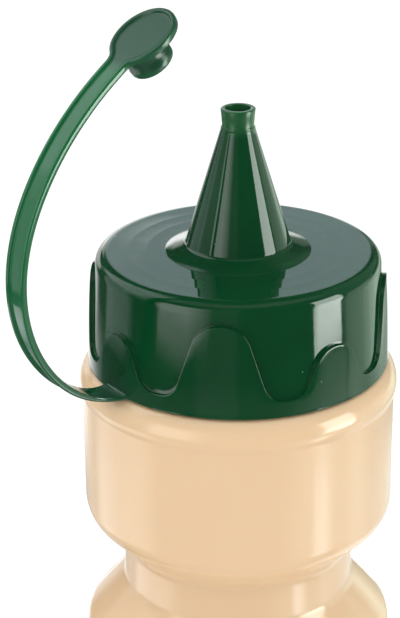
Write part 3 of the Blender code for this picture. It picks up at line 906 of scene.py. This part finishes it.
# What the glossy plastic reflects: name, azimuths from the front towards +X, elevations,
# brightness, widths of the soft edges (start, end, foot, top) and tint. Angles in degrees.
REFLECTIONS = (
    ("dim_room", (-180, 180), (-90, 90), 0.06, (0, 0, 0, 0), "#FFFFFF"),
    ("front", (-34, 2), (-30, 40), 0.15, (5, 5, 5, 5), "#FFFFFF"),
    ("ceiling", (-125, 125), (46, 86), 0.4, (25, 25, 12, 14), "#FFFFFF"),
    ("right_room", (70, 160), (6, 60), 0.28, (12, 12, 8, 10), "#D8FFE4"),
    ("right_window", (59.3, 87), (-19.5, 28), 7.2, (1.2, 1.2, 1.2, 3), "#F6FFF8"),
    ("right_window_foot", (62, 88), (-18.8, 0), 3.5, (2, 2, 1.8, 6), "#F6FFF8"),
    ("left_window", (-65, -19), (-18.6, 30), 2.5, (4, 20, 3, 4), "#FFFFFF"),
    ("left_panel_foot", (-128, -88), (-22, 18), 0.62, (5, 8, 2, 5), "#F0FAFF"),
    ("left_panel", (-145, -66), (12, 66), 1.6, (10, 22, 10, 10), "#F0FAFF"),
    ("left_backdrop", (-192, -136), (-8, 13), 1.4, (3, 5, 8, 4), "#FFFFFF"),
    ("left_backdrop_foot", (-198, -142), (-23, 0), 0.8, (3, 10, 2, 8), "#FFFFFF"),
    ("left_table", (-198, -124), (-30, -20.5), 1.7, (3, 24, 4, 5), "#FFFFFF"),
    ("left_table_low", (-198, -124), (-52, -27), 0.5, (3, 20, 8, 3), "#FFFFFF"),
    ("left_table_foot", (-148, -98), (-50, -20.5), 0.28, (10, 10, 2.5, 10), "#D8F4FF"),
    ("right_backdrop", (88, 170), (-25.5, 0), 1.05, (5, 30, 4, 6), "#E8FFEC"),
    ("right_sill", (54, 90), (-25.5, -19.8), 0.8, (14, 3, 4.5, 0.3), "#E8FFEC"),
    ("right_backdrop_near", (88, 130), (-8, 10), 1.0, (5, 12, 8, 3), "#E8FFEC"),
    ("right_backdrop_middle", (112, 150), (-25.5, -2), 0.45, (14, 10, 4, 8), "#E8FFEC"),
    ("backdrop", (180, 202), (-4, 22), 1.5, (4, 6, 8, 5), "#FFFFFF"),
    ("backdrop_right", (160, 180), (-6, 18.5), 0.25, (4, 4, 8, 2), "#E8FFEC"),
    ("right_backdrop_top", (120, 165), (-12, 5), 0.6, (12, 6, 4, 6), "#E8FFEC"),
    ("left_gap", (-102, -64), (-1, 20), 0.36, (6, 3, 4, 6), "#FFFFFF"),
    ("backdrop_top", (167, 193), (15, 36), 1.0, (5, 5, 2.5, 6), "#E3F2FF"),
    ("table_front", (-96, 60), (-90, -20.5), 0.27, (8, 20, 10, 4), "#FFFFFF"),
    ("table_right", (20, 172), (-90, -21), 0.5, (30, 5, 10, 4), "#F0FFF2"),
    ("table_right_middle", (36, 112), (-40, -21), 0.9, (16, 16, 8, 4), "#F0FFF2"),
    ("table_right_far", (84, 172), (-46, -27), 0.6, (12, 20, 8, 2), "#FFFFFF"),
    ("table_right_foot", (92, 160), (-70, -38), 1.2, (14, 10, 10, 8), "#FFFFFF"),
    ("table_left", (-132, -58), (-42, -26), 1.45, (12, 16, 6, 0.8), "#FFFFFF"),
    ("table_glare", (56, 74), (-46, -28.2), 3.6, (2, 8, 8, 1.3), "#F4FAFF"),
)
# Each patch is nearer than the one before it, so that no two coincide. In metres.
FARTHEST, NEARER = 2.0, 0.03
PATCH_STEP = 6.0  # largest angle between a patch's points
PATCH_MIDDLE, LIGHT_AIM = (0.0, 0.0, 0.17), (0.0, 0.0, 0.15)

# Soft lights: name, azimuth, elevation, width in metres and power in watts.
LIGHTS = (
    ("key_light", 60.0, 38.0, 0.9, 1.2),
    ("fill_light", -10.0, 62.0, 0.7, 1.8),
    ("left_light", -85.0, 40.0, 0.7, 0.8),
)
LIGHT_DISTANCE = 1.2
AIR_BRIGHTNESS = 0.97
FLOOR_RINGS = (0.0, 0.5, 1.5, 6.0)

# The camera's place, from the cap's lower rim on the axis, its turns in degrees, and its
# lens and sensor in millimetres.
CAMERA_PLACE, CAMERA_TURNS = (-0.00006, -0.33547, 0.15488), (66.640, 0.4931, 1.1116)
CAMERA_LENS, CAMERA_SENSOR = 103.69, 36.0


def stops(ends, start_soft, end_soft):
    """Angles across a patch, with their brightness: none at a soft end, full inside."""
    start, end = ends
    marks = [(start, 0.0), (start + start_soft, 1.0), (end - end_soft, 1.0), (end, 0.0)]
    spots = []
    for (a, glow_a), (b, glow_b) in zip(marks, marks[1:]):
        count = math.ceil((b - a) / PATCH_STEP)
        spots += [(mix(a, b, i / count), mix(glow_a, glow_b, i / count)) for i in range(count)]
    return spots + [(end, 0.0 if end_soft else 1.0)]


def patch_mesh(name, azimuths, elevations, soft, reach):
    """Patch of a sphere round the cap, with its brightness as an attribute."""
    columns, rows = stops(azimuths, *soft[:2]), stops(elevations, *soft[2:])
    spots, levels, faces = [], [], []
    for azimuth, across in columns:
        for elevation, up in rows:
            spots.append(Vector(PATCH_MIDDLE) + way(azimuth, elevation) * reach)
            levels.append(across * up)
    count = len(rows)
    for i in range(len(columns) - 1):
        for k in range(count - 1):
            start = i * count + k
            faces.append((start, start + count, start + count + 1, start + 1))
    mesh = bpy.data.meshes.new(name)
    mesh.from_pydata(spots, [], faces)
    mesh.attributes.new("level", "FLOAT", "POINT").data.foreach_set("value", levels)
    return mesh


def glowing_air(name, brightness, tint):
    """Clear glow, as bright as the patch's attribute says."""
    material, tree = new_material(name)[:2]
    tree.nodes.clear()
    share = add_node(tree, "ShaderNodeAttribute", attribute_name="level")["Fac"]
    level = add_node(tree, MATH, {0: share, 1: brightness}, operation="MULTIPLY")[0]
    light = add_node(tree, "ShaderNodeEmission", {"Color": linear(tint), "Strength": level})[0]
    clear = add_node(tree, "ShaderNodeBsdfTransparent")[0]
    both = add_node(tree, "ShaderNodeAddShader", {0: light, 1: clear})[0]
    add_node(tree, "ShaderNodeOutputMaterial", {"Surface": both})
    return material


def glow(name, azimuths, elevations, brightness, soft, tint, reach):
    """Glowing patch of a sphere round the cap that only reflections see."""
    mesh = patch_mesh(name, azimuths, elevations, soft, reach)
    mesh.materials.append(glowing_air(name, brightness, tint))
    item = add_object(name, mesh)
    for ray in ("camera", "diffuse", "shadow", "transmission", "volume_scatter"):
        setattr(item, "visible_" + ray, False)


def soft_light(name, azimuth, elevation, width, watts):
    """Square soft light that gloss doesn't reflect."""
    out = way(azimuth, elevation)
    data = bpy.data.lights.new(name, "AREA")
    data.size, data.energy = width, watts
    item = add_object(name, data)
    item.location = Vector(LIGHT_AIM) + out * LIGHT_DISTANCE
    item.rotation_euler = (-out).to_track_quat("-Z", "Y").to_euler()
    item.visible_glossy = False


class BOTTLE_OT_make_stage(bpy.types.Operator):
    """Make the floor, the lights, their reflections and the camera"""

    bl_idname = "squeeze_bottle.make_stage"
    bl_label = "Make Stage"

    def execute(self, context):
        scene = context.scene
        shape = bmesh.new()
        turned(shape, [(radius, 0.0) for radius in FLOOR_RINGS], 64)
        floor = piece_from(shape, "studio_floor", painted_board(scene.finishes))
        floor.visible_glossy = False
        for i, (name, *values) in enumerate(REFLECTIONS):
            glow(name, *values, FARTHEST - NEARER * i)
        for light in LIGHTS:
            soft_light(*light)
        world = bpy.data.worlds.new("studio_air")
        scene.world = world
        world.use_nodes = True
        air = world.node_tree.nodes["Background"].inputs
        air["Color"].default_value = (1.0, 1.0, 1.0, 1.0)
        air["Strength"].default_value = AIR_BRIGHTNESS
        world.cycles_visibility.glossy = False
        data = bpy.data.cameras.new("camera")
        data.sensor_width, data.lens = CAMERA_SENSOR, CAMERA_LENS
        camera = add_object("camera", data)
        camera.location = Vector(CAMERA_PLACE) + Vector((0.0, 0.0, scene.bottle_sizes.rim_z))
        camera.rotation_euler = tuple(math.radians(turn) for turn in CAMERA_TURNS)
        scene.camera = camera
        scene.view_settings.view_transform = "Standard"
        return {"FINISHED"}


class BOTTLE_PT_pieces(bpy.types.Panel):
    """Lists the pieces of the squeeze bottle"""

    bl_idname = "BOTTLE_PT_pieces"
    bl_label = "Squeeze Bottle"
    bl_space_type = "VIEW_3D"
    bl_region_type = "UI"
    bl_category = "Bottle"

    def draw(self, context):
        layout = self.layout
        for operator in OPERATORS:
            layout.operator(operator.bl_idname)
        for group in SIZES:
            box = layout.box()
            settings = getattr(context.scene, group)
            for name in settings.__annotations__:
                box.prop(settings, name)


SIZES = {
    "bottle_sizes": BottleSizes,
    "cap_sizes": CapSizes,
    "strap_sizes": StrapSizes,
    "finishes": Finishes,
}
OPERATORS = (
    BOTTLE_OT_make_bottle,
    BOTTLE_OT_make_cap,
    BOTTLE_OT_make_strap,
    BOTTLE_OT_make_stage,
)
CLASSES = (*SIZES.values(), *OPERATORS, BOTTLE_PT_pieces)


def register():
    """Register the classes and the settings that each scene gets."""
    for item in CLASSES:
        bpy.utils.register_class(item)
    for name, group in SIZES.items():
        setattr(bpy.types.Scene, name, PointerProperty(type=group))


def unregister():
    """Undo what register does."""
    for name in SIZES:
        delattr(bpy.types.Scene, name)
    for item in reversed(CLASSES):
        bpy.utils.unregister_class(item)


def main():
    """Make every piece."""
    register()
    bpy.ops.squeeze_bottle.make_bottle()
    bpy.ops.squeeze_bottle.make_cap()
    bpy.ops.squeeze_bottle.make_strap()
    bpy.ops.squeeze_bottle.make_stage()


if __name__ == "__main__":
    main()
